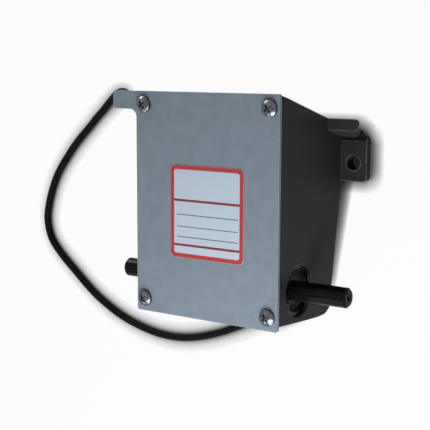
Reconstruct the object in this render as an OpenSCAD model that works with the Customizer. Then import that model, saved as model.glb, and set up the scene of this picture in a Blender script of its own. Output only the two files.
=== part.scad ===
// Engine governor actuator: cast housing on its back, shaft along X, cover facing up.
// Millimetres. X is the shaft axis, Y runs up the cover, Z leaves the cover.
// Origin on the mounting plane, below the middle of the cover.

/* [Cover] */
// Width of the cover plate
cover_w = 84; // [76:1:96]
// Height of the cover plate
cover_h = 113; // [106:1:124]
// Thickness of the cover plate
cover_t = 1.6; // [1:0.1:3]
// Thickness of the cover gasket
gasket_t = 0.8; // [0.5:0.1:1.5]
// Length of the guard tab beside the cable
tab_w = 15; // [10:1:20]
// Height of the guard tab
tab_h = 9.2; // [6:0.2:12]

/* [Housing] */
// Depth from the mounting plane to the front of the cover
depth = 72; // [68:1:84]
// Wall of the casting
wall = 4; // [3:0.5:5]
// Floor of the casting
floor_t = 5; // [4:0.5:6]
// How far the top wall falls towards the rear
top_drop = 19; // [14:0.5:20]
// How far the bottom wall falls towards the rear
low_fall = 4; // [1:0.5:5]
// Growth of the rear edge chamfers per mm towards the bottom
rear_slope = 0.16; // [0.1:0.01:0.18]
// Reach of each mounting ear beyond the side wall
ear_reach = 14.5; // [14:0.5:20]
// Thickness of the mounting ears
ear_t = 8; // [6:0.5:10]
// Bolt hole in each mounting ear
ear_hole_d = 8; // [6:0.5:9]

/* [Shaft] */
// Diameter of the output shaft
shaft_d = 10; // [8:0.5:10]
// Shaft end beyond the right side wall
shaft_out = 27; // [18:1:32]
// Shaft end beyond the left side wall
left_out = 24; // [18:1:32]
// Travel of the output shaft in degrees
travel = 25; // [15:1:25]

/* [Bearings] */
// Outside diameter of the ball bearings
bearing_od = 26; // [25:0.5:26]
// Width of the ball bearings
bearing_w = 8; // [7:0.5:9]
// Balls in each bearing
ball_n = 7; // [6:1:8]

/* [Electromagnet] */
// Stack width of the stator laminations
stack_w = 30; // [24:1:32]
// Winding thickness round the pole
winding_t = 8; // [5:0.5:8.5]
// Arm length from the shaft axis
arm_len = 56; // [52:0.5:57]

/* [Cable] */
// Diameter of the supply cable
cable_d = 4; // [3.5:0.25:6]

/* [Hidden] */
$fn = 64;
// Clearance of a running fit, and room beside a moving piece
run_gap = 0.05;
room = 0.4;
// Cover overhang at the sides and at the lower edge
side_gap = 0.5;
low_gap = 2.2;
half_w = cover_w / 2 - side_gap;
y_low = -cover_h / 2 + low_gap;
y_high = cover_h / 2 - side_gap;
rim_z = depth - cover_t - gasket_t;
// Heel: the slanted lower rear edge of the casting
heel_rise = 23;
heel_run = 14.5;
heel_lift = wall * (norm([heel_rise, heel_run]) - heel_rise) / heel_run;
heel_in = heel_run * (heel_rise + heel_lift - floor_t) / heel_rise;
// Ears and ribs
ear_h = 21;
ear_low = 9.5;
ear_drop = 36.5;
ear_y = cover_h / 2 - ear_drop;
ear_edge = 7.4;
ear_x = half_w + ear_reach - ear_edge;
ear_r = 1.6;
ear_join = 2;
web_lean = 40;
ear_fillet = 1.5;
end_slope = 0.22;
end_lean = atan(end_slope);
ear_end = half_w + ear_reach - ear_t * end_slope;
web_r = 3;
slant_drop = 1.3;
slant_y = cover_h / 2 - slant_drop;
rib_t = 5.7;
rib_r = 2.4;
rib_front = 23.5;
rib_reach = ear_reach + 3.4;
rib_slope = 0.45;
root_depth = 12;
slope_a = atan(top_drop / rim_z);
rib_lean = atan(rib_slope * cos(slope_a));
rib_end = half_w + rib_reach - rib_front * rib_slope;
chamfer_a = asin(1 / sqrt(2 + rear_slope * rear_slope));
chamfer_in = wall * sqrt(2 + rear_slope * rear_slope);
big = 300;
// Cover screws
screw_in_x = 5.2;
screw_in_y = 6.7;
screw_x = cover_w / 2 - screw_in_x;
screw_y = cover_h / 2 - screw_in_y;
screw_r = 2;
head_r = 4;
head_h = 2.9;
dome_r = 6.2;
screw_bite = 6.6;
tap_depth = 8;
post_r = 5.6;
post_len = 14;
tab_r = 2.5;
tab_root = 4;
// Label
label_w = 43.2;
label_h = 46.6;
label_t = 0.2;
label_x = 1.1;
label_y = -2.7;
// Shaft and bearing seats
shaft_r = shaft_d / 2;
collar_r = shaft_r + 1;
shaft_up = 16.2;
shaft_back = 22.2;
shaft_y = -cover_h / 2 + shaft_up;
shaft_z = depth - shaft_back;
shaft_end = half_w + shaft_out;
left_end = half_w + left_out;
groove_w = 1;
groove_d = 0.3;
clip_t = 1.2;
clip_depth = 2;
clip_play = 0.1;
clip_bite = 0.6;
clip_a = 114;
seat_face = clip_depth + clip_t + clip_play;
seat_end = seat_face + bearing_w;
boss_wall = 4;
boss_step = 4.7;
boss_r = bearing_od / 2 + boss_wall;
boss_len = seat_end + boss_step;
relief_r = bearing_od / 2 - 2.5;
relief_len = 1;
neck_r = collar_r + 1;
bearing_x = half_w - seat_face - bearing_w / 2;
// Bearing inside: pitch circle, ball and races
pitch_r = (shaft_r + bearing_od / 2) / 2;
ball_r = (bearing_od / 2 - shaft_r) * 0.2975;
ball_gap = 0.02;
race_in = pitch_r - ball_r * 0.67;
race_out = pitch_r + ball_r * 0.67;
seal_t = 0.6;
seal_in = 0.15;
cage_t = 0.8;
cage_w = 2 * ball_r + 0.9;
// Armature and its swing
rest_a = 15;
hub_r = 10.4;
hub_len = 28;
arm_t = 6;
arm_inset = 2;
arm_w = stack_w - 2 * arm_inset;
pin_r = 1.5;
// Stator: pole faces lie along the arm at the end of its travel
end_a = rest_a - travel;
shim_t = 0.5;
shim_drop = arm_t / 2 + room;
pole_drop = shim_drop + shim_t;
base_t = 10;
base_z = floor_t + base_t;
near_pole = 10;
far_pole = 12;
tip_over = 2;
far_y1 = shaft_y + arm_len - tip_over;
far_y0 = far_y1 - far_pole;
bobbin_t = 1.2;
flange_t = 1.5;
coil_play = 0.2;
coil_grow = bobbin_t + coil_play;
coil_z1 = shaft_z - (far_y1 + winding_t + coil_grow - shaft_y) * tan(-end_a) - pole_drop - 2;
flange_grow = coil_grow + winding_t;
stator_screw_x = stack_w / 2 - 6;
stator_head_r = 3.3;
stator_head_h = 3;
stator_bite = 3.4;
head_room = 2 * stator_head_r + 2 * room;
near_y1 = far_y0 - flange_grow - head_room;
near_y0 = near_y1 - near_pole;
stator_screw_y = near_y1 + head_room / 2;
// Bumper under the cover, above the tip of the resting arm
bump_r = 5;
tip_z = shaft_z + arm_len * sin(rest_a) + arm_t / 2 * cos(rest_a);
bump_y = shaft_y + arm_len * cos(rest_a) - 4;
// Return spring round the shaft
spring_r = 8.6;
wire_r = 0.8;
spring_turns = 4;
spring_x0 = hub_len / 2 + 1.6;
spring_x1 = half_w - boss_len - 1.6;
spring_bite = 4;
spring_step = 22.5;
// Cable gland on the left wall, clear of the falling top wall
gland_r = 4;
flange_r = 6;
gland_out = 8;
gland_in = 5;
nut_r = 5.8;
nut_t = 3;
gland_z = 34;
gland_y = round(y_high - wall - top_drop * (1 - gland_z / rim_z) - nut_r - 1);
// Connector at the far end of the cable
plug_len = 16;
plug_w = 9;
plug_h = 7;
plug_back = 5;
pin_len = 9;
cable_r = cable_d / 2;
cable_sides = 10;
// Cable route from the gland: X from the wall, Y from the gland axis, Z above the mounting plane
lay = cable_r;
route = [
  [11.5, 0, gland_z], [-0.5, 0, gland_z], [-10, 0, gland_z], [-17.5, 1.6, 33.3], [-25.5, 5.4, 31],
  [-33.5, 10.2, 27.5], [-41.5, 14.7, 23], [-49, 17.6, 18], [-56, 18.8, 13.2], [-62, 18.4, 9.4],
  [-67.5, 16.8, 6.4], [-72.5, 14, 4], [-77, 10.7, 2.6], [-81.5, 6.6, lay], [-87, 1.7, lay],
  [-92, -3.3, lay], [-102.8, -13.6, lay], [-111.8, -24.1, lay], [-119.5, -34.7, lay], [-124.6, -45.4, lay],
  [-127.9, -55.9, lay], [-129, -65.5, lay], [-125.9, -76.6, lay], [-117.5, -86.2, lay], [-106.7, -95.3, lay],
  [-95.6, -104.3, lay], [-85.5, -111.2, lay], [-69.8, -119.2, lay], [-54.2, -124.1, lay],
  [-38.9, -126.7, lay], [-24, -126.6, lay], [-9.5, -123.8, lay], [4.6, -119.1, lay], [13, -115.4, lay],
  [21.5, -111.4, lay], [29.5, -107.4, lay], [37.5, -103.4, lay]];
path = [for (p = route) [p.x - half_w, p.y + gland_y, p.z]];

// Unit vector, tangent of a path and a smooth point between route points
function unit(v) = v / norm(v);
function last(p) = len(p) - 1;
function tangent(p, i) = unit(p[min(i + 1, last(p))] - p[max(i - 1, 0)]);
function blend(a, b, c, d, t) =
  0.5 * (2 * b + (c - a) * t + (2 * a - 5 * b + 4 * c - d) * t * t + (3 * b - a - 3 * c + d) * t * t * t);
function smooth(p) = [
  for (i = [0 : last(p) - 1], t = [0, 0.5])
    blend(i == 0 ? 2 * p[0] - p[1] : p[i - 1], p[i], p[i + 1],
      i + 2 > last(p) ? 2 * p[i + 1] - p[i] : p[i + 2], t),
  p[last(p)]];
// Sideways direction for a path that never stands upright
function beside(p) = [for (i = [0 : last(p)]) unit(cross([0, 0, 1], tangent(p, i)))];
// One ring of a tube, and the faces between the rings
function ring(c, t, n, r, k) =
  [for (j = [0 : k - 1]) c + r * (n * cos(360 * j / k) + cross(t, n) * sin(360 * j / k))];
function side_faces(m, k) = [
  for (i = [0 : m - 2], j = [0 : k - 1])
    [i * k + j, (i + 1) * k + j, (i + 1) * k + (j + 1) % k, i * k + (j + 1) % k]];

// Tube along a path, with the sideways directions given
module tube(p, side, r, k) {
  m = len(p);
  spots = [for (i = [0 : m - 1]) each ring(p[i], tangent(p, i), side[i], r, k)];
  ends = [[for (j = [0 : k - 1]) j], [for (j = [0 : k - 1]) m * k - 1 - j]];
  polyhedron(points = spots, faces = concat(side_faces(m, k), ends), convexity = 10);
}

// Flat shape given as Y and Z, drawn out along X from x0
module along_x(x0, length) {
  translate([x0, 0, 0])
    rotate([90, 0, 90])
      linear_extrude(length)
        children();
}

// Cylinder along X, centred on the shaft axis
module shaft_rod(x0, length, r) {
  translate([x0, shaft_y, shaft_z])
    rotate([0, 90, 0])
      cylinder(r = r, h = length);
}

// Ring about the shaft axis, from a profile of radius and X, centred on x0
module shaft_turn(x0) {
  translate([x0, shaft_y, shaft_z])
    rotate([0, 90, 0])
      rotate_extrude()
        children();
}

module rounded(w, h, r) {
  square([w - 2 * r, h], center = true);
  square([w, h - 2 * r], center = true);
  for (sx = [-1, 1], sy = [-1, 1])
    translate([sx * (w / 2 - r), sy * (h / 2 - r)])
      circle(r);
}

module both_sides() {
  children();
  mirror([1, 0, 0])
    children();
}

module at_screws() {
  for (sx = [-1, 1], sy = [-1, 1])
    translate([sx * screw_x, sy * screw_y, 0])
      children();
}

// Half space beyond the slanted chamfer of the right rear edge
module rear_cut(inset) {
  translate([half_w - inset, slant_y, 0])
    rotate([0, chamfer_a, -atan(rear_slope)])
      translate([0, -big / 2, -big / 2])
        cube([big, big, big]);
}

module outer_body() {
  difference() {
    intersection() {
      translate([0, (y_low - low_fall + y_high) / 2, 0])
        linear_extrude(rim_z)
          rounded(2 * half_w, y_high - y_low + low_fall, 2);
      along_x(-half_w - 1, 2 * half_w + 2)
        polygon([[y_low, rim_z + 1], [y_high, rim_z + 1], [y_high, rim_z], [y_high - top_drop, 0],
          [y_low - low_fall + heel_run, 0], [y_low - low_fall, heel_rise], [y_low, rim_z]]);
    }
    both_sides()
      rear_cut(0);
  }
}

module cavity() {
  difference() {
    intersection() {
      translate([0, (y_low - low_fall + y_high) / 2, floor_t])
        linear_extrude(rim_z)
          rounded(2 * (half_w - wall), y_high - y_low + low_fall - 2 * wall, 3);
      along_x(-half_w, 2 * half_w)
        polygon([[y_low + wall, rim_z + 1], [y_high - wall, rim_z + 1], [y_high - wall, rim_z],
          [y_high - wall - top_drop * (1 - floor_t / rim_z), floor_t],
          [y_low - low_fall + wall + heel_in, floor_t], [y_low - low_fall + wall, heel_rise + heel_lift],
          [y_low + wall, rim_z]]);
    }
    both_sides()
      rear_cut(chamfer_in);
  }
}

// Bar of the reach given that ends at X zero, of height h along Y
module bar(reach, h, r) {
  translate([-(reach + root_depth) / 2, h / 2, -rib_front])
    linear_extrude(3 * rib_front)
      rounded(reach + root_depth, h, r);
}

module slab(t) {
  translate([0, -big / 2, 0])
    cube([big, big, t]);
}

// Ear plate with the hollow web that runs from its top up to the rib
module ear_plate() {
  top = ear_h + ear_join;
  bar(ear_reach, top, ear_r);
  translate([0, 0, -rib_front])
    linear_extrude(3 * rib_front)
      difference() {
        translate([-ear_reach, top - 1])
          square([ear_reach - ear_r, web_r + 1]);
        translate([-ear_r, top + web_r])
          circle(web_r);
      }
}

// Right ear with its stiffening rib and root fillet; the outer ends lean outwards to the front
module ear() {
  difference() {
    union() {
      translate([0, ear_y - ear_low, 0])
        difference() {
          intersection() {
            translate([ear_end, 0, 0])
              rotate([0, end_lean, 0])
                ear_plate();
            slab(ear_t);
          }
          translate([0, ear_h, ear_t])
            rotate([-web_lean, 0, 0])
              cube(big);
        }
      intersection() {
        translate([rib_end, y_high - top_drop, 0])
          rotate([-slope_a, 0, 0])
            rotate([0, rib_lean, 0])
              translate([0, -rib_t, 0])
                bar(rib_reach, rib_t, rib_r);
        slab(rib_front);
      }
      translate([0, ear_y - ear_low + ear_h - ear_join, 0])
        rotate([90, 0, 0])
          linear_extrude(ear_h - ear_join)
            difference() {
              translate([half_w - 1, ear_t - 1])
                square(ear_fillet + 1);
              translate([half_w + ear_fillet, ear_t + ear_fillet])
                circle(ear_fillet);
            }
    }
    translate([ear_x, ear_y, -1])
      cylinder(r = ear_hole_d / 2, h = ear_t + 2);
  }
}

// Bearing seat in the right wall: mouth chamfer, clip groove, seat, relief and neck
module seat() {
  shaft_rod(half_w - seat_end, big, bearing_od / 2);
  shaft_rod(half_w - clip_depth - clip_t - clip_play, clip_t + clip_play, bearing_od / 2 + clip_bite);
  shaft_rod(half_w - seat_end - relief_len, big, relief_r);
  shaft_rod(half_w - boss_len - 1, big, neck_r);
  translate([half_w - 0.6, shaft_y, shaft_z])
    rotate([0, 90, 0])
      cylinder(r1 = bearing_od / 2, r2 = bearing_od / 2 + 0.8, h = 0.8);
}

module spring_hole(x0, length, angle) {
  translate([x0, shaft_y + spring_r * cos(angle), shaft_z + spring_r * sin(angle)])
    rotate([0, 90, 0])
      cylinder(r = wire_r + run_gap, h = length);
}

module housing() {
  color([0.17, 0.17, 0.18])
    difference() {
      union() {
        difference() {
          union() {
            outer_body();
            both_sides()
              ear();
          }
          cavity();
        }
        intersection() {
          outer_body();
          union() {
            both_sides()
              shaft_rod(half_w - boss_len, boss_len, boss_r);
            at_screws()
              translate([0, 0, rim_z - post_len])
                cylinder(r = post_r, h = post_len);
          }
        }
      }
      both_sides()
        seat();
      at_screws()
        translate([0, 0, rim_z - tap_depth])
          cylinder(r = screw_r, h = tap_depth + 1);
      for (sx = [-1, 1])
        translate([sx * stator_screw_x, stator_screw_y, floor_t - stator_bite])
          cylinder(r = screw_r, h = stator_bite + 1);
      spring_hole(spring_x1, spring_bite + 1, 0);
      translate([-half_w - 1, gland_y, gland_z])
        rotate([0, 90, 0])
          cylinder(r = gland_r, h = wall + 2);
    }
}

module tab_shape() {
  difference() {
    translate([-cover_w / 2 - tab_w, cover_h / 2 - tab_h])
      square([tab_w + 4, tab_h]);
    for (y = [cover_h / 2 - tab_r, cover_h / 2 - tab_h + tab_r])
      translate([-cover_w / 2 - tab_w, y - (y > cover_h / 2 - tab_h / 2 ? 0 : tab_r)])
        difference() {
          square(tab_r);
          translate([tab_r, y > cover_h / 2 - tab_h / 2 ? 0 : tab_r])
            circle(tab_r);
        }
  }
  difference() {
    translate([-cover_w / 2 - tab_root, cover_h / 2 - tab_h - tab_root])
      square([tab_root + 1, tab_root + 1]);
    translate([-cover_w / 2 - tab_root, cover_h / 2 - tab_h - tab_root])
      circle(tab_root);
  }
}

module cover_plate() {
  color([0.5, 0.53, 0.57])
    translate([0, 0, depth - cover_t])
      linear_extrude(cover_t)
        difference() {
          union() {
            rounded(cover_w, cover_h, 1);
            tab_shape();
          }
          at_screws()
            circle(screw_r + 0.25);
        }
}

module cover_gasket() {
  color([0.08, 0.08, 0.08])
    translate([0, 0, rim_z])
      linear_extrude(gasket_t)
        difference() {
          translate([0, (y_low + y_high) / 2])
            rounded(2 * half_w, y_high - y_low, 2);
          difference() {
            translate([0, (y_low + y_high) / 2])
              rounded(2 * (half_w - wall), y_high - y_low - 2 * wall, 3);
            at_screws()
              circle(post_r);
          }
          at_screws()
            circle(screw_r + 0.25);
        }
}

module pan_head() {
  intersection() {
    cylinder(r = head_r, h = head_h);
    translate([0, 0, head_h - dome_r])
      sphere(dome_r);
  }
}

module cross_slot() {
  for (a = [0, 90])
    rotate([0, 0, a])
      translate([-2.2, -0.45, head_h - 1.5])
        cube([4.4, 0.9, 3]);
}

module cover_screws() {
  color([0.75, 0.76, 0.78])
    at_screws()
      translate([0, 0, depth]) {
        difference() {
          pan_head();
          rotate([0, 0, 35])
            cross_slot();
        }
        translate([0, 0, -cover_t - gasket_t - screw_bite])
          cylinder(r = screw_r, h = cover_t + gasket_t + screw_bite + 0.1);
      }
}

module rating_label() {
  color([0.72, 0.76, 0.83])
    translate([label_x, label_y, depth])
      linear_extrude(label_t)
        rounded(label_w, label_h, 2.6);
}

// Side shape of the stator, as Y and Z, before the pole faces are cut
module core_shape() {
  translate([near_y0, floor_t])
    square([far_y1 - near_y0, base_t]);
  translate([near_y0, floor_t])
    square([near_y1 - near_y0, shaft_z]);
  translate([far_y0, floor_t])
    square([far_y1 - far_y0, shaft_z]);
}

// Band below the arm at the end of its travel, as Y and Z
module pole_band(drop, height) {
  translate([shaft_y, shaft_z])
    rotate(end_a)
      translate([0, -drop - height])
        square([2 * arm_len, height]);
}

module stator_core() {
  color([0.42, 0.42, 0.44])
    difference() {
      along_x(-stack_w / 2, stack_w)
        intersection() {
          core_shape();
          pole_band(pole_drop, big);
        }
      for (sx = [-1, 1])
        translate([sx * stator_screw_x, stator_screw_y, 0])
          cylinder(r = screw_r + 0.25, h = base_z + 1);
    }
}

module pole_shims() {
  color([0.78, 0.62, 0.28])
    along_x(-stack_w / 2, stack_w)
      intersection() {
        difference() {
          core_shape();
          translate([near_y0 - 1, 0])
            square([far_y1 - near_y0 + 2, base_z + 1]);
        }
        pole_band(shim_drop, shim_t);
      }
}

// Frame round the far pole, as X and Y
module pole_ring(inner, outer) {
  translate([0, (far_y0 + far_y1) / 2])
    difference() {
      square([stack_w + 2 * outer, far_y1 - far_y0 + 2 * outer], center = true);
      square([stack_w + 2 * inner, far_y1 - far_y0 + 2 * inner], center = true);
    }
}

module coil_bobbin() {
  color([0.12, 0.12, 0.12]) {
    translate([0, 0, base_z])
      linear_extrude(coil_z1 - base_z)
        pole_ring(coil_play, coil_grow);
    for (z = [base_z, coil_z1 - flange_t])
      translate([0, 0, z])
        linear_extrude(flange_t)
          pole_ring(coil_play, flange_grow);
  }
}

module coil_winding() {
  color([0.62, 0.33, 0.16])
    translate([0, 0, base_z + flange_t])
      linear_extrude(coil_z1 - base_z - 2 * flange_t)
        pole_ring(coil_grow, flange_grow - 0.8);
}

module stator_screws() {
  color([0.3, 0.3, 0.31])
    for (sx = [-1, 1])
      translate([sx * stator_screw_x, stator_screw_y, 0]) {
        translate([0, 0, floor_t - stator_bite])
          cylinder(r = screw_r, h = base_t + stator_bite + 0.1);
        translate([0, 0, base_z])
          difference() {
            cylinder(r = stator_head_r, h = stator_head_h);
            translate([0, 0, 1.2])
              cylinder(r = 1.7, h = stator_head_h, $fn = 6);
          }
      }
}

module rest_bumper() {
  color([0.1, 0.1, 0.1])
    translate([0, bump_y, tip_z + room])
      cylinder(r = bump_r, h = depth - cover_t - tip_z - room);
}

module outer_ring(side) {
  color([0.6, 0.61, 0.63])
    shaft_turn(side * bearing_x)
      difference() {
        translate([race_out, -bearing_w / 2])
          square([bearing_od / 2 - race_out, bearing_w]);
        translate([pitch_r, 0])
          circle(ball_r + ball_gap);
      }
}

module inner_ring(side) {
  color([0.6, 0.61, 0.63])
    shaft_turn(side * bearing_x)
      difference() {
        translate([shaft_r, -bearing_w / 2])
          square([race_in - shaft_r, bearing_w]);
        translate([pitch_r, 0])
          circle(ball_r + ball_gap);
      }
}

module seals(side) {
  color([0.06, 0.06, 0.06])
    for (x = [-bearing_w / 2 + seal_in, bearing_w / 2 - seal_in - seal_t])
      shaft_turn(side * bearing_x)
        translate([race_in + run_gap, x])
          square([race_out - race_in - run_gap, seal_t]);
}

module at_balls(side) {
  translate([side * bearing_x, shaft_y, shaft_z])
    for (i = [0 : ball_n - 1])
      rotate([i * 360 / ball_n, 0, 0])
        translate([0, pitch_r, 0])
          children();
}

module balls(side) {
  color([0.7, 0.71, 0.73])
    at_balls(side)
      sphere(ball_r);
}

module cage(side) {
  color([0.66, 0.55, 0.3])
    difference() {
      shaft_turn(side * bearing_x)
        translate([pitch_r - cage_t / 2, -cage_w / 2])
          square([cage_t, cage_w]);
      at_balls(side)
        rotate([90, 0, 0])
          cylinder(r = ball_r + run_gap, h = 4, center = true);
    }
}

// Clip shape as Y and Z about the shaft axis
module clip_shape() {
  rotate(clip_a)
    difference() {
      union() {
        difference() {
          circle(bearing_od / 2 + clip_bite - run_gap);
          translate([-0.5, 0])
            circle(bearing_od / 2 - 1.7);
          translate([0, -1.4])
            square([bearing_od, 2.8]);
        }
        for (s = [-1, 1])
          translate([bearing_od / 2 - 2.4, s * 3.4])
            circle(2);
      }
      for (s = [-1, 1])
        translate([bearing_od / 2 - 2.6, s * 3.4])
          circle(0.9);
    }
}

module circlip(side) {
  color([0.12, 0.12, 0.13])
    translate([0, shaft_y, shaft_z])
      along_x(side > 0 ? half_w - seat_face : -half_w + seat_face - clip_t, clip_t)
        clip_shape();
}

// One side of the shaft as radius and X: collar, bearing journal, relief groove and free end
function shaft_side(end) = [
  [collar_r, half_w - seat_end], [shaft_r, half_w - seat_end],
  [shaft_r, half_w - groove_w], [shaft_r - groove_d, half_w - groove_w], [shaft_r - groove_d, half_w],
  [shaft_r, half_w], [shaft_r, end - 1], [shaft_r - 1, end], [0, end]];

module shaft_shape() {
  left = shaft_side(left_end);
  polygon(concat([for (i = [last(left) : -1 : 0]) [left[i].x, -left[i].y]], shaft_side(shaft_end)));
}

module output_shaft() {
  color([0.1, 0.1, 0.11])
    difference() {
      shaft_turn(0)
        shaft_shape();
      for (s = [-1, 1])
        translate([s > 0 ? shaft_end : -left_end, shaft_y, shaft_z])
          rotate([0, -90 * s, 0])
            translate([0, 0, -0.5])
              cylinder(r1 = 1.9, r2 = 0.4, h = 3);
      swung()
        cylinder(r = pin_r, h = 2 * hub_r, center = true);
    }
}

// Placed on the shaft axis with Y along the resting arm
module swung() {
  translate([0, shaft_y, shaft_z])
    rotate([rest_a, 0, 0])
      children();
}

module armature() {
  color([0.5, 0.5, 0.52])
    difference() {
      swung()
        difference() {
          union() {
            rotate([0, 90, 0])
              cylinder(r = hub_r, h = hub_len, center = true);
            translate([-arm_w / 2, 0, -arm_t / 2])
              cube([arm_w, arm_len, arm_t]);
          }
          rotate([0, 90, 0])
            cylinder(r = collar_r, h = hub_len + 2, center = true);
          cylinder(r = pin_r, h = 3 * hub_r, center = true);
        }
      spring_hole(spring_x0 - 1 - spring_bite, spring_bite + 1, 90 * spring_turns);
    }
}

module armature_pin() {
  color([0.65, 0.66, 0.68])
    swung()
      cylinder(r = pin_r, h = 2 * hub_r - 0.6, center = true);
}

// Torsion spring: a leg in the hub, the coils, and a leg in the bearing boss
module return_spring() {
  sweep = 360 * spring_turns;
  angles = [for (a = [0 : spring_step : sweep]) a];
  turns = [for (a = angles)
    [spring_x0 + (spring_x1 - 1 - spring_x0) * a / sweep, spring_r * cos(a), spring_r * sin(a)]];
  wire = concat([[spring_x0 - spring_bite, spring_r, 0], [spring_x0 - 1, spring_r, 0]], turns,
    [[spring_x1, spring_r, 0], [spring_x1 + spring_bite - 1, spring_r, 0]]);
  sides = concat([[0, 1, 0], [0, 1, 0]], [for (a = angles) [0, cos(a), sin(a)]], [[0, 1, 0], [0, 1, 0]]);
  color([0.62, 0.63, 0.65])
    translate([0, shaft_y, shaft_z])
      tube(wire, sides, wire_r, 8);
}

module cable_gland() {
  color([0.07, 0.07, 0.07])
    translate([-half_w, gland_y, gland_z])
      rotate([0, -90, 0])
        difference() {
          union() {
            translate([0, 0, -wall - gland_in])
              cylinder(r = gland_r, h = wall + gland_in + 1);
            cylinder(r = flange_r, h = 2);
            translate([0, 0, 2])
              cylinder(r1 = gland_r, r2 = cable_r + 1, h = gland_out - 2);
          }
          translate([0, 0, -wall - gland_in - 1])
            cylinder(r = cable_r, h = wall + gland_in + gland_out + 2);
        }
}

module gland_nut() {
  color([0.09, 0.09, 0.09])
    translate([-half_w + wall, gland_y, gland_z])
      rotate([0, 90, 0])
        difference() {
          cylinder(r = nut_r, h = nut_t, $fn = 6);
          translate([0, 0, -1])
            cylinder(r = gland_r, h = nut_t + 2);
        }
}

module supply_cable() {
  line = smooth(path);
  color([0.04, 0.04, 0.04])
    tube(line, beside(line), cable_r, cable_sides);
}

// Placed on the end face of the cable, X along the plug, Z through its middle
module at_plug() {
  way = path[last(path)] - path[last(path) - 1];
  translate([path[last(path)].x, path[last(path)].y, plug_h / 2])
    rotate([0, 0, atan2(way.y, way.x)])
      children();
}

// Flat shape given as Y and Z of the plug, drawn out along the plug
module plug_block(x0, length) {
  translate([x0, 0, 0])
    rotate([90, 0, 90])
      linear_extrude(length)
        children();
}

module cable_plug() {
  color([0.06, 0.06, 0.06])
    at_plug()
      difference() {
        union() {
          plug_block(0, plug_len)
            rounded(plug_w, plug_h, 1);
          plug_block(2, 1.6)
            rounded(plug_w + 1.6, plug_h, 1);
        }
        plug_block(plug_back, plug_len)
          rounded(plug_w - 2.4, plug_h - 2.4, 0.6);
      }
}

module plug_pins() {
  color([0.72, 0.6, 0.32])
    at_plug()
      for (s = [-1, 1])
        translate([plug_back, s * 1.6, 0])
          rotate([0, 90, 0])
            cylinder(r = 0.6, h = pin_len);
}

housing();
cover_plate();
cover_gasket();
cover_screws();
rating_label();
stator_core();
pole_shims();
coil_bobbin();
coil_winding();
stator_screws();
rest_bumper();
outer_ring(-1);  // left_outer_ring
outer_ring(1);  // right_outer_ring
seals(-1);  // left_seals
seals(1);  // right_seals
circlip(-1);  // left_circlip
circlip(1);  // right_circlip
inner_ring(-1);  // left_inner_ring
inner_ring(1);  // right_inner_ring
output_shaft();
armature();
armature_pin();
balls(-1);  // left_balls
cage(-1);  // left_cage
balls(1);  // right_balls
cage(1);  // right_cage
return_spring();
cable_gland();
gland_nut();
supply_cable();
cable_plug();
plug_pins();
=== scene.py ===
import math

import bpy
from mathutils import Matrix, Vector


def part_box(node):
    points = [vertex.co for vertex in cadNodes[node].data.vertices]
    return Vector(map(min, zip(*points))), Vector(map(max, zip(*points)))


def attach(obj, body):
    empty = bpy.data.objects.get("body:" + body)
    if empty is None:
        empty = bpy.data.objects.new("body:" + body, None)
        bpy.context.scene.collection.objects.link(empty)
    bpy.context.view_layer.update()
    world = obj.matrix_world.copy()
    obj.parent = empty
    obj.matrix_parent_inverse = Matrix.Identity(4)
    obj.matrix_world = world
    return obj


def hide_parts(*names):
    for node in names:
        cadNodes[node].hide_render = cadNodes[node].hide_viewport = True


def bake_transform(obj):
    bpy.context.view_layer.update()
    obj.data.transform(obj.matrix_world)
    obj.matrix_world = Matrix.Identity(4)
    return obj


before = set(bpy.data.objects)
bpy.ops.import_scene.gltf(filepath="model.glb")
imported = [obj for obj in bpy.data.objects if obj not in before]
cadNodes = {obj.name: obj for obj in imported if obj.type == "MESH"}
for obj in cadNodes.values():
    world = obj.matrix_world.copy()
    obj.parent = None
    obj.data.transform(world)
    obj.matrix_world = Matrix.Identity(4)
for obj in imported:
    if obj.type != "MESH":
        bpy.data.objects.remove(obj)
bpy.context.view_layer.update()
scene = bpy.context.scene
scene.view_settings.view_transform = "Standard"
mm = 0.001
print("loaded", len(cadNodes), "solids")


# camera

cameraView = {
    "place": (0.27874, 0.07136, 0.47876),
    "look": (-0.5504, -0.1497, -0.8214),
    "up": (-0.0865, 0.9887, -0.1222),
    "lens": 85.02,
    "sensor": 36.0,
    "clipStart": 0.01,
}


def makeCamera(view):
    data = bpy.data.cameras.new("studioCamera")
    data.sensor_width = view["sensor"]
    data.lens = view["lens"]
    data.clip_start = view["clipStart"]
    camera = bpy.data.objects.new("studioCamera", data)
    scene.collection.objects.link(camera)
    back = -Vector(view["look"]).normalized()
    right = Vector(view["up"]).cross(back).normalized()
    up = back.cross(right)
    turn = Matrix((right, up, back)).transposed().to_4x4()
    camera.matrix_world = Matrix.Translation(view["place"]) @ turn
    scene.camera = camera


makeCamera(cameraView)
print("camera placed")


# supply cable

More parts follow.
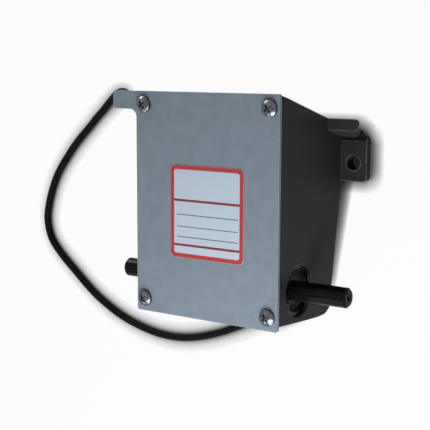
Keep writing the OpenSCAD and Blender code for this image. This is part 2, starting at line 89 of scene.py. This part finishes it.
cableLead = {
    "diameter": 4.0 * mm,
    "exit": (-41.5, 35.0, 34.0),
    "steps": 6,
    "roundSteps": 6,
    "route": [  # same points as the solid, in millimetres: X and Y from the exit, Z above the floor
        (11.5, 0, 34), (-0.5, 0, 34), (-10, 0, 34), (-17.5, 1.6, 33.3), (-25.5, 5.4, 31), (-33.5, 10.2, 27.5),
        (-41.5, 14.7, 23), (-49, 17.6, 18), (-56, 18.8, 13.2), (-62, 18.4, 9.4), (-67.5, 16.8, 6.4),
        (-72.5, 14, 4), (-77, 10.7, 2.6), (-81.5, 6.6, 2), (-87, 1.7, 2), (-92, -3.3, 2), (-102.8, -13.6, 2),
        (-111.8, -24.1, 2), (-119.5, -34.7, 2), (-124.6, -45.4, 2), (-127.9, -55.9, 2), (-129, -65.5, 2),
        (-125.9, -76.6, 2), (-117.5, -86.2, 2), (-106.7, -95.3, 2), (-95.6, -104.3, 2), (-85.5, -111.2, 2),
        (-69.8, -119.2, 2), (-54.2, -124.1, 2), (-38.9, -126.7, 2), (-24, -126.6, 2), (-9.5, -123.8, 2),
        (4.6, -119.1, 2), (13, -115.4, 2), (21.5, -111.4, 2), (29.5, -107.4, 2), (37.5, -103.4, 2),
    ],
}


def smoothRoute(points, start, steps):
    knots = [Vector((x + start[0], y + start[1], z)) * mm for x, y, z in points]
    knots = [2 * knots[0] - knots[1]] + knots + [2 * knots[-1] - knots[-2]]
    line = []
    for a, b, c, d in zip(knots, knots[1:], knots[2:], knots[3:]):
        for i in range(steps):
            t = i / steps
            line.append(0.5 * (2 * b + (c - a) * t + (2 * a - 5 * b + 4 * c - d) * t * t
                               + (3 * b - a - 3 * c + d) * t ** 3))
    line.append(knots[-2])
    return line


def makeCable(lead):
    line = smoothRoute(lead["route"], lead["exit"], lead["steps"])
    curve = bpy.data.curves.new("supplyLead", "CURVE")
    curve.dimensions = "3D"
    curve.bevel_depth = 1.0  # the points carry the radius, so the curve's box fits it
    curve.bevel_resolution = lead["roundSteps"]
    curve.use_fill_caps = True
    spline = curve.splines.new("POLY")
    spline.points.add(len(line) - 1)
    for point, spot in zip(spline.points, line):
        point.co = (*spot, 1.0)
        point.radius = lead["diameter"] / 2
    spline.use_smooth = True
    cable = bpy.data.objects.new("supplyLead", curve)
    scene.collection.objects.link(cable)
    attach(cable, "frame")
    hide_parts("supply_cable")
    return cable


supplyLead = makeCable(cableLead)


# shader node groups

def startGroup(name, inputs, outputs):
    group = bpy.data.node_groups.new(name, "ShaderNodeTree")
    for label, kind, value in inputs:
        socket = group.interface.new_socket(name=label, in_out="INPUT", socket_type=kind)
        socket.default_value = value
    for label, kind in outputs:
        group.interface.new_socket(name=label, in_out="OUTPUT", socket_type=kind)
    entry = group.nodes.new("NodeGroupInput")
    leave = group.nodes.new("NodeGroupOutput")
    return group, entry, leave


def addNode(tree, kind, **values):
    node = tree.nodes.new(kind)
    for key, value in values.items():
        setattr(node, key, value)
    return node


floatSocket = "NodeSocketFloat"
colorSocket = "NodeSocketColor"


grainNoise = {"fineDetail": 4.0, "slowDetail": 3.0}


def makeGrainGroup(look):
    # fine bumps and slow mottling, for castings and sheet
    group, entry, leave = startGroup(
        "surfaceGrain",
        [("Fine Scale", floatSocket, 900.0), ("Slow Scale", floatSocket, 25.0)],
        [("Height", floatSocket), ("Mottle", floatSocket)])
    link = group.links.new
    place = addNode(group, "ShaderNodeTexCoord")
    fine = addNode(group, "ShaderNodeTexNoise")
    slow = addNode(group, "ShaderNodeTexNoise")
    fine.inputs["Detail"].default_value = look["fineDetail"]
    slow.inputs["Detail"].default_value = look["slowDetail"]
    link(place.outputs["Object"], fine.inputs["Vector"])
    link(place.outputs["Object"], slow.inputs["Vector"])
    link(entry.outputs["Fine Scale"], fine.inputs["Scale"])
    link(entry.outputs["Slow Scale"], slow.inputs["Scale"])
    link(fine.outputs["Fac"], leave.inputs["Height"])
    link(slow.outputs["Fac"], leave.inputs["Mottle"])
    return group


def makeToneGroup():
    # base colour shifted towards a second one by a mask
    group, entry, leave = startGroup(
        "toneShift",
        [("Base", colorSocket, (0.5, 0.5, 0.5, 1)), ("Other", colorSocket, (0.4, 0.4, 0.4, 1)),
         ("Mask", floatSocket, 0.5), ("Amount", floatSocket, 1.0)],
        [("Color", colorSocket)])
    link = group.links.new
    scaled = addNode(group, "ShaderNodeMath", operation="MULTIPLY", use_clamp=True)
    mix = addNode(group, "ShaderNodeMix", data_type="RGBA")
    link(entry.outputs["Mask"], scaled.inputs[0])
    link(entry.outputs["Amount"], scaled.inputs[1])
    link(scaled.outputs[0], mix.inputs["Factor"])
    link(entry.outputs["Base"], mix.inputs["A"])
    link(entry.outputs["Other"], mix.inputs["B"])
    link(mix.outputs["Result"], leave.inputs["Color"])
    return group


streakNoise = {"scale": 1.0, "detail": 3.0, "low": 0.40, "high": 0.66}


def makeStreakGroup(look):
    # long marks along one axis, for drawn or turned metal
    group, entry, leave = startGroup(
        "drawnStreaks",
        [("Across", floatSocket, 900.0), ("Along", floatSocket, 12.0)],
        [("Mask", floatSocket)])
    link = group.links.new
    place = addNode(group, "ShaderNodeTexCoord")
    size = addNode(group, "ShaderNodeCombineXYZ")
    stretch = addNode(group, "ShaderNodeMapping")
    noise = addNode(group, "ShaderNodeTexNoise")
    noise.inputs["Scale"].default_value = look["scale"]
    noise.inputs["Detail"].default_value = look["detail"]
    sharpen = addNode(group, "ShaderNodeMapRange")
    sharpen.inputs["From Min"].default_value = look["low"]
    sharpen.inputs["From Max"].default_value = look["high"]
    link(entry.outputs["Along"], size.inputs["X"])
    link(entry.outputs["Across"], size.inputs["Y"])
    link(entry.outputs["Across"], size.inputs["Z"])
    link(place.outputs["Object"], stretch.inputs["Vector"])
    link(size.outputs["Vector"], stretch.inputs["Scale"])
    link(stretch.outputs["Vector"], noise.inputs["Vector"])
    link(noise.outputs["Fac"], sharpen.inputs["Value"])
    link(sharpen.outputs["Result"], leave.inputs["Mask"])
    return group


edgeMask = {
    "edgeSamples": 8, "cornerSamples": 6, "cornerPower": 4.0,
    "patchScale": 140.0, "patchLow": 0.35, "patchHigh": 0.60, "patchLeast": 0.35,
}


def makeWearAndHighlightGroup(look):
    # lighter colour along outer edges and not in the corners: rubbed paint, and a painted highlight where
    # rounded edges would catch light
    group, entry, leave = startGroup(
        "edgeWearAndHighlight",
        [("Reach", floatSocket, 0.0007), ("Gain", floatSocket, 5.0)],
        [("Mask", floatSocket)])
    link = group.links.new
    place = addNode(group, "ShaderNodeTexCoord")
    patchy = addNode(group, "ShaderNodeTexNoise")
    patchy.inputs["Scale"].default_value = look["patchScale"]
    rounded = addNode(group, "ShaderNodeBevel", samples=look["edgeSamples"])
    facet = addNode(group, "ShaderNodeNewGeometry")
    agree = addNode(group, "ShaderNodeVectorMath", operation="DOT_PRODUCT")
    apart = addNode(group, "ShaderNodeMath", operation="SUBTRACT")
    apart.inputs[0].default_value = 1.0
    edge = addNode(group, "ShaderNodeMath", operation="MULTIPLY", use_clamp=True)
    corner = addNode(group, "ShaderNodeAmbientOcclusion", samples=look["cornerSamples"], only_local=True)
    clear = addNode(group, "ShaderNodeMath", operation="POWER")
    clear.inputs[1].default_value = look["cornerPower"]
    outer = addNode(group, "ShaderNodeMath", operation="MULTIPLY")
    uneven = addNode(group, "ShaderNodeMapRange")
    uneven.inputs["From Min"].default_value = look["patchLow"]
    uneven.inputs["From Max"].default_value = look["patchHigh"]
    uneven.inputs["To Min"].default_value = look["patchLeast"]
    wornAndLit = addNode(group, "ShaderNodeMath", operation="MULTIPLY", use_clamp=True)
    link(entry.outputs["Reach"], rounded.inputs["Radius"])
    link(rounded.outputs["Normal"], agree.inputs[0])
    link(facet.outputs["Normal"], agree.inputs[1])
    link(agree.outputs["Value"], apart.inputs[1])
    link(apart.outputs[0], edge.inputs[0])
    link(entry.outputs["Gain"], edge.inputs[1])
    link(entry.outputs["Reach"], corner.inputs["Distance"])
    link(corner.outputs["AO"], clear.inputs[0])
    link(edge.outputs[0], outer.inputs[0])
    link(clear.outputs[0], outer.inputs[1])
    link(place.outputs["Object"], patchy.inputs["Vector"])
    link(patchy.outputs["Fac"], uneven.inputs["Value"])
    link(outer.outputs[0], wornAndLit.inputs[0])
    link(uneven.outputs["Result"], wornAndLit.inputs[1])
    link(wornAndLit.outputs[0], leave.inputs["Mask"])
    return group


grainGroup = makeGrainGroup(grainNoise)
toneGroup = makeToneGroup()
streakGroup = makeStreakGroup(streakNoise)
wearAndHighlightGroup = makeWearAndHighlightGroup(edgeMask)
print("node groups made")


# materials

# the lighter edge colour of castPaint and coverSheet is rubbed paint and a painted highlight
finishes = {
    "castPaint": {
        "base": (0.0206, 0.0217, 0.0231), "other": (0.0278, 0.0295, 0.032), "amount": 0.8, "spec": 0.03,
        "rough": 0.44, "roughSwing": 0.14, "metal": 0.0, "bump": 0.10, "fine": 700.0, "slow": 45.0,
        "wornAndLit": (0.165, 0.178, 0.198), "wearLightReach": 0.8, "wearLightGain": 6.5,
    },
    "coverSheet": {
        "base": (0.176, 0.213, 0.2575), "other": (0.1185, 0.145, 0.1755), "amount": 0.9, "spec": 0.10,
        "rough": 0.38, "roughSwing": 0.16, "metal": 0.0, "bump": 0.34, "fine": 330.0, "slow": 140.0,
        "wornAndLit": (0.30, 0.345, 0.40), "wearLightReach": 0.5, "wearLightGain": 4.0,
    },
    "gasketRubber": {
        "base": (0.010, 0.010, 0.010), "other": (0.017, 0.017, 0.017), "amount": 0.8, "spec": 0.06,
        "rough": 0.70, "roughSwing": 0.1, "metal": 0.0, "bump": 0.05, "fine": 1200.0, "slow": 60.0,
    },
    "zincPlate": {
        "base": (0.17, 0.184, 0.202), "other": (0.012, 0.013, 0.015), "amount": 1.0, "spec": 0.5,
        "rough": 0.23, "roughSwing": 0.12, "metal": 1.0, "bump": 0.02, "fine": 2500.0, "slow": 300.0,
    },
    "labelField": {
        "base": (0.355, 0.415, 0.50), "other": (0.335, 0.393, 0.473), "amount": 0.6,
        "rough": 0.38, "roughSwing": 0.06, "metal": 0.0, "bump": 0.0, "fine": 1500.0, "slow": 60.0,
    },
    "labelRed": {
        "base": (0.315, 0.028, 0.027), "other": (0.28, 0.025, 0.025), "amount": 0.6,
        "rough": 0.38, "roughSwing": 0.06, "metal": 0.0, "bump": 0.0, "fine": 1500.0, "slow": 60.0,
    },
    "labelWine": {
        "base": (0.165, 0.018, 0.026), "other": (0.145, 0.016, 0.023), "amount": 0.6,
        "rough": 0.38, "roughSwing": 0.06, "metal": 0.0, "bump": 0.0, "fine": 1500.0, "slow": 60.0,
    },
    "labelInk": {
        "base": (0.030, 0.032, 0.045), "other": (0.05, 0.05, 0.06), "amount": 0.6,
        "rough": 0.45, "roughSwing": 0.05, "metal": 0.0, "bump": 0.0, "fine": 1500.0, "slow": 200.0,
    },
    "nylonBlack": {
        "base": (0.014, 0.014, 0.015), "other": (0.022, 0.022, 0.023), "amount": 0.7,
        "rough": 0.45, "roughSwing": 0.1, "metal": 0.0, "bump": 0.03, "fine": 1500.0, "slow": 90.0,
    },
    "cableJacket": {
        "base": (0.0030, 0.0030, 0.0032), "other": (0.005, 0.005, 0.0052), "amount": 0.7, "spec": 0.04,
        "rough": 0.55, "roughSwing": 0.12, "metal": 0.0, "bump": 0.04, "fine": 1400.0, "slow": 60.0,
    },
    # bright steel darkened to near black: painted shade of the bore where the rings sit
    "shadeDarkSteel": {
        "base": (0.016, 0.016, 0.017), "other": (0.034, 0.034, 0.036), "amount": 0.6, "spec": 0.5,
        "rough": 0.26, "roughSwing": 0.1, "metal": 1.0, "bump": 0.01, "fine": 2500.0, "slow": 120.0,
    },
    "coreIron": {
        "base": (0.16, 0.16, 0.17), "other": (0.11, 0.11, 0.12), "amount": 0.8,
        "rough": 0.5, "roughSwing": 0.1, "metal": 1.0, "bump": 0.05, "fine": 900.0, "slow": 60.0,
    },
    "dullBrass": {
        "base": (0.56, 0.38, 0.13), "other": (0.42, 0.28, 0.10), "amount": 0.7,
        "rough": 0.35, "roughSwing": 0.1, "metal": 1.0, "bump": 0.01, "fine": 1500.0, "slow": 150.0,
    },
    "varnishedCopper": {
        "base": (0.36, 0.10, 0.035), "other": (0.22, 0.06, 0.02), "amount": 0.7,
        "rough": 0.35, "roughSwing": 0.1, "metal": 0.6, "bump": 0.1, "fine": 900.0, "slow": 90.0,
    },
}


finishRange = {  # shared by all finishes
    "noiseLow": 0.3, "noiseHigh": 0.7, "plainSpec": 0.3, "grainDepth": 0.3 * mm, "streakDepth": 0.1 * mm,
}


def newMaterial(name):
    material = bpy.data.materials.new(name)
    material.use_nodes = True
    return material, material.node_tree, material.node_tree.nodes["Principled BSDF"]


def placeGroup(tree, group, **values):
    node = addNode(tree, "ShaderNodeGroup", node_tree=group)
    for label, value in values.items():
        node.inputs[label.replace("_", " ")].default_value = value
    return node


def placeTone(tree, look, mask):
    tone = placeGroup(tree, toneGroup, Base=(*look["base"], 1), Other=(*look["other"], 1),
                      Amount=look["amount"])
    tree.links.new(mask, tone.inputs["Mask"])
    return tone.outputs["Color"]


def roughnessFrom(tree, shader, mask, middle, swing):
    spread = addNode(tree, "ShaderNodeMapRange")
    spread.inputs["From Min"].default_value = finishRange["noiseLow"]
    spread.inputs["From Max"].default_value = finishRange["noiseHigh"]
    spread.inputs["To Min"].default_value = middle - swing / 2
    spread.inputs["To Max"].default_value = middle + swing / 2
    tree.links.new(mask, spread.inputs["Value"])
    tree.links.new(spread.outputs["Result"], shader.inputs["Roughness"])


def bumpFrom(tree, shader, height, strength, distance):
    bump = addNode(tree, "ShaderNodeBump")
    bump.inputs["Strength"].default_value = strength
    bump.inputs["Distance"].default_value = distance
    tree.links.new(height, bump.inputs["Height"])
    tree.links.new(bump.outputs["Normal"], shader.inputs["Normal"])


def makeFinish(name, look):
    material, tree, shader = newMaterial(name)
    grain = placeGroup(tree, grainGroup, Fine_Scale=look["fine"], Slow_Scale=look["slow"])
    colour = placeTone(tree, look, grain.outputs["Mottle"])
    # edges turned lighter: rubbed paint and a painted highlight
    if "wornAndLit" in look:
        wearAndLight = placeGroup(tree, wearAndHighlightGroup, Reach=look["wearLightReach"] * mm, Gain=look["wearLightGain"])
        rubbedAndLit = placeGroup(tree, toneGroup, Other=(*look["wornAndLit"], 1), Amount=1.0)
        tree.links.new(colour, rubbedAndLit.inputs["Base"])
        tree.links.new(wearAndLight.outputs["Mask"], rubbedAndLit.inputs["Mask"])
        colour = rubbedAndLit.outputs["Color"]
    tree.links.new(colour, shader.inputs["Base Color"])
    shader.inputs["Metallic"].default_value = look["metal"]
    shader.inputs["Specular IOR Level"].default_value = look.get("spec", finishRange["plainSpec"])
    roughnessFrom(tree, shader, grain.outputs["Mottle"], look["rough"], look["roughSwing"])
    if look["bump"]:
        bumpFrom(tree, shader, grain.outputs["Height"], look["bump"], finishRange["grainDepth"])
    return material


blackOxide = {
    "base": (0.002, 0.002, 0.0023), "other": (0.012, 0.0122, 0.013), "amount": 0.5, "spec": 0.05,
    "rough": 0.32, "roughSwing": 0.16, "metal": 0.0, "across": 1300.0, "along": 45.0, "bump": 0.30,
}


def makeDrawnFinish(name, look):
    material, tree, shader = newMaterial(name)
    streak = placeGroup(tree, streakGroup, Across=look["across"], Along=look["along"])
    tree.links.new(placeTone(tree, look, streak.outputs["Mask"]), shader.inputs["Base Color"])
    shader.inputs["Metallic"].default_value = look["metal"]
    shader.inputs["Specular IOR Level"].default_value = look["spec"]
    roughnessFrom(tree, shader, streak.outputs["Mask"], look["rough"], look["roughSwing"])
    bumpFrom(tree, shader, streak.outputs["Mask"], look["bump"], finishRange["streakDepth"])
    return material


materials = {name: makeFinish(name, look) for name, look in finishes.items()}
materials["blackOxide"] = makeDrawnFinish("blackOxide", blackOxide)
print("materials made:", len(materials))


# finishes of the solids

nodeFinish = {
    "housing": "castPaint", "cover_plate": "coverSheet", "cover_gasket": "gasketRubber",
    "cover_screws": "zincPlate", "rating_label": "labelField",
    "stator_core": "coreIron", "pole_shims": "dullBrass", "coil_bobbin": "nylonBlack",
    "coil_winding": "varnishedCopper", "stator_screws": "blackOxide", "rest_bumper": "gasketRubber",
    "left_outer_ring": "shadeDarkSteel", "right_outer_ring": "shadeDarkSteel",
    # the inner rings take the black shaft finish: painted shade of the bore, since their steel is bright
    "left_inner_ring": "blackOxide", "right_inner_ring": "blackOxide",
    "left_seals": "gasketRubber", "right_seals": "gasketRubber",
    "left_circlip": "shadeDarkSteel", "right_circlip": "shadeDarkSteel",
    "output_shaft": "blackOxide", "armature": "coreIron", "armature_pin": "shadeDarkSteel",
    "left_balls": "shadeDarkSteel", "right_balls": "shadeDarkSteel",
    "left_cage": "dullBrass", "right_cage": "dullBrass",
    "cable_gland": "nylonBlack", "gland_nut": "nylonBlack",
    "cable_plug": "nylonBlack", "plug_pins": "dullBrass",
}


def dressNode(name, finish):
    data = cadNodes[name].data
    data.materials.clear()
    data.materials.append(materials[finish])


for nodeName, finish in nodeFinish.items():
    dressNode(nodeName, finish)
supplyLead.data.materials.append(materials["cableJacket"])
print("solids dressed")


# return spring, one leg in the armature hub and the other in the housing boss

springCoil = {"node": "return_spring", "hubLeg": 4.0, "bossLeg": 3.0, "axisY": -40.3, "axisZ": 49.8}


def makeSpring(look):
    mesh = cadNodes[look["node"]].data.copy()
    mesh.materials.clear()
    mesh.materials.append(materials["shadeDarkSteel"])
    mesh.shade_smooth()
    spring = bpy.data.objects.new("springCoil", mesh)
    scene.collection.objects.link(spring)
    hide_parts(look["node"])
    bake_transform(spring)


makeSpring(springCoil)


# label print

labelPrint = {
    "width": 43.2, "height": 46.6, "corner": 2.6, "border": 2.2, "innerCorner": 1.4, "inset": 0.2,
    "middle": (1.1, -2.7), "lift": 0.03, "thick": 0.05,
    "dividers": (3.0, -19.5), "dividerWidth": 1.15,
    "rules": [  # left end, right end and height of the blank writing lines
        (-16.5, 19.5, -4.2), (-16.5, 19.5, -10.2), (-16.5, 19.5, -15.4),
    ],
    "ruleWidth": 0.35,
}


def roundedOutline(width, height, corner, steps=8):
    spots = []
    for sx, sy, start in ((1, 1, 0), (-1, 1, 90), (-1, -1, 180), (1, -1, 270)):
        for i in range(steps + 1):
            angle = math.radians(start + 90 * i / steps)
            spots.append((sx * (width / 2 - corner) + corner * math.cos(angle),
                          sy * (height / 2 - corner) + corner * math.sin(angle)))
    return spots


def printPiece(name, spots, faces, height, thick, material):
    mesh = bpy.data.meshes.new(name)
    mesh.from_pydata([(x * mm, y * mm, height) for x, y in spots], [], faces)
    mesh.materials.append(material)
    piece = bpy.data.objects.new(name, mesh)
    scene.collection.objects.link(piece)
    film = piece.modifiers.new("inkFilm", "SOLIDIFY")
    film.thickness = thick * mm
    film.offset = -1.0
    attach(piece, "frame")


def printBars(name, bars, width, height, thick, material):
    spots, faces = [], []
    for x0, x1, y in bars:
        first = len(spots)
        spots += [(x0, y - width / 2), (x1, y - width / 2), (x1, y + width / 2), (x0, y + width / 2)]
        faces.append((first, first + 1, first + 2, first + 3))
    printPiece(name, spots, faces, height, thick, material)


def makeLabelPrint(look):
    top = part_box("rating_label")[1][2] + look["lift"] * mm
    cx, cy = look["middle"]
    outer = roundedOutline(look["width"] - look["inset"], look["height"] - look["inset"], look["corner"])
    inner = roundedOutline(look["width"] - 2 * look["border"], look["height"] - 2 * look["border"],
                           look["innerCorner"])
    count = len(outer)
    spots = [(x + cx, y + cy) for x, y in outer + inner]
    faces = [(i, (i + 1) % count, count + (i + 1) % count, count + i) for i in range(count)]
    printPiece("labelFrame", spots, faces, top, look["thick"], materials["labelRed"])
    reach = look["width"] / 2 - look["border"]
    dividers = [(cx - reach, cx + reach, y) for y in look["dividers"]]
    printBars("labelDividers", dividers, look["dividerWidth"], top, look["thick"], materials["labelWine"])
    printBars("labelRules", look["rules"], look["ruleWidth"], top, look["thick"], materials["labelInk"])


makeLabelPrint(labelPrint)
print("label printed")


# floor, world and lamps

def backgroundRays(tree):
    # 1 for rays that show the background: from the camera, mirrored or through glass
    rays = addNode(tree, "ShaderNodeLightPath")
    mirrored = addNode(tree, "ShaderNodeMath", operation="MAXIMUM")
    through = addNode(tree, "ShaderNodeMath", operation="MAXIMUM")
    tree.links.new(rays.outputs["Is Camera Ray"], mirrored.inputs[0])
    tree.links.new(rays.outputs["Is Glossy Ray"], mirrored.inputs[1])
    tree.links.new(mirrored.outputs[0], through.inputs[0])
    tree.links.new(rays.outputs["Is Transmission Ray"], through.inputs[1])
    return through.outputs[0]


studioFloor = {
    "tone": (0.34, 0.34, 0.34), "size": 6.0, "glow": 0.96,
    "shadowReach": 0.008, "shadowPower": 3.4, "shadowSamples": 8,
}


def makeFloor(look):
    half = look["size"] / 2
    corners = [(-half, -half, 0), (half, -half, 0), (half, half, 0), (-half, half, 0)]
    mesh = bpy.data.meshes.new("studioFloor")
    mesh.from_pydata(corners, [], [(0, 1, 2, 3)])
    floor = bpy.data.objects.new("studioFloor", mesh)
    scene.collection.objects.link(floor)
    material, tree, principled = newMaterial("studioFloor")
    tree.nodes.remove(principled)
    matt = addNode(tree, "ShaderNodeBsdfDiffuse")
    matt.inputs["Color"].default_value = (*look["tone"], 1)
    glow = addNode(tree, "ShaderNodeEmission")
    share = addNode(tree, "ShaderNodeMath", operation="MULTIPLY")
    share.inputs[1].default_value = look["glow"]
    # the floor's glow is dimmed by occlusion near the object: a painted contact shadow
    contactShadow = addNode(tree, "ShaderNodeAmbientOcclusion", samples=look["shadowSamples"])
    contactShadow.inputs["Distance"].default_value = look["shadowReach"]
    deepenShadow = addNode(tree, "ShaderNodeMath", operation="POWER")
    deepenShadow.inputs[1].default_value = look["shadowPower"]
    mix = addNode(tree, "ShaderNodeMixShader")
    tree.links.new(contactShadow.outputs["AO"], deepenShadow.inputs[0])
    tree.links.new(deepenShadow.outputs[0], glow.inputs["Strength"])
    tree.links.new(backgroundRays(tree), share.inputs[0])
    tree.links.new(share.outputs[0], mix.inputs["Fac"])
    tree.links.new(matt.outputs[0], mix.inputs[1])
    tree.links.new(glow.outputs[0], mix.inputs[2])
    tree.links.new(mix.outputs[0], tree.nodes["Material Output"].inputs["Surface"])
    mesh.materials.append(material)


studioWorld = {  # "seen" is the background's strength, "dim" to "bright" the light on the object
    "tone": (1.0, 1.0, 1.0), "seen": 1.0, "dim": 0.09, "bright": 0.34,
    "brightSide": (-0.35, -0.80, 0.48), "dimAt": -0.6, "brightAt": 1.0,
}


def makeWorld(look):
    world = bpy.data.worlds.new("studioWorld")
    world.use_nodes = True
    tree = world.node_tree
    ground = tree.nodes["Background"]
    ground.inputs["Color"].default_value = (*look["tone"], 1)
    place = addNode(tree, "ShaderNodeTexCoord")
    towards = addNode(tree, "ShaderNodeVectorMath", operation="DOT_PRODUCT")
    towards.inputs[1].default_value = Vector(look["brightSide"]).normalized()
    level = addNode(tree, "ShaderNodeMapRange")
    level.inputs["From Min"].default_value = look["dimAt"]
    level.inputs["From Max"].default_value = look["brightAt"]
    level.inputs["To Min"].default_value = look["dim"]
    level.inputs["To Max"].default_value = look["bright"]
    pick = addNode(tree, "ShaderNodeMix", data_type="FLOAT")
    pick.inputs["B"].default_value = look["seen"]
    tree.links.new(place.outputs["Generated"], towards.inputs[0])
    tree.links.new(towards.outputs["Value"], level.inputs["Value"])
    tree.links.new(backgroundRays(tree), pick.inputs["Factor"])
    tree.links.new(level.outputs["Result"], pick.inputs["A"])
    tree.links.new(pick.outputs["Result"], ground.inputs["Strength"])
    scene.world = world


studioLamps = [  # name, place, target, size, watts; the glint lamp puts bright spots low on the screw heads
    ("keyLamp", (0.12, -0.24, 0.27), (0.0, -0.05, 0.06), 0.24, 1.85),
    ("glintLamp", (-0.22, -0.42, 0.34), (0.0, 0.0, 0.07), 0.13, 0.45),
    ("fillLamp", (-0.30, 0.30, 0.80), (0.0, 0.0, 0.04), 0.6, 0.5),
    ("backLamp", (-0.34, 0.36, 0.10), (-0.02, 0.02, 0.03), 0.20, 1.5),
    ("sideLamp", (0.20, -0.26, 0.08), (0.04, -0.04, 0.03), 0.15, 0.05),
]


def makeLamps(lamps):
    for name, place, target, size, watts in lamps:
        data = bpy.data.lights.new(name, "AREA")
        data.shape = "SQUARE"
        data.size = size
        data.energy = watts
        lamp = bpy.data.objects.new(name, data)
        lamp.location = place
        lamp.visible_camera = False
        aim = Vector(target) - Vector(place)
        lamp.rotation_euler = aim.to_track_quat("-Z", "Y").to_euler()
        scene.collection.objects.link(lamp)


makeFloor(studioFloor)
makeWorld(studioWorld)
makeLamps(studioLamps)
print("studio lit")

bpy.context.view_layer.update()
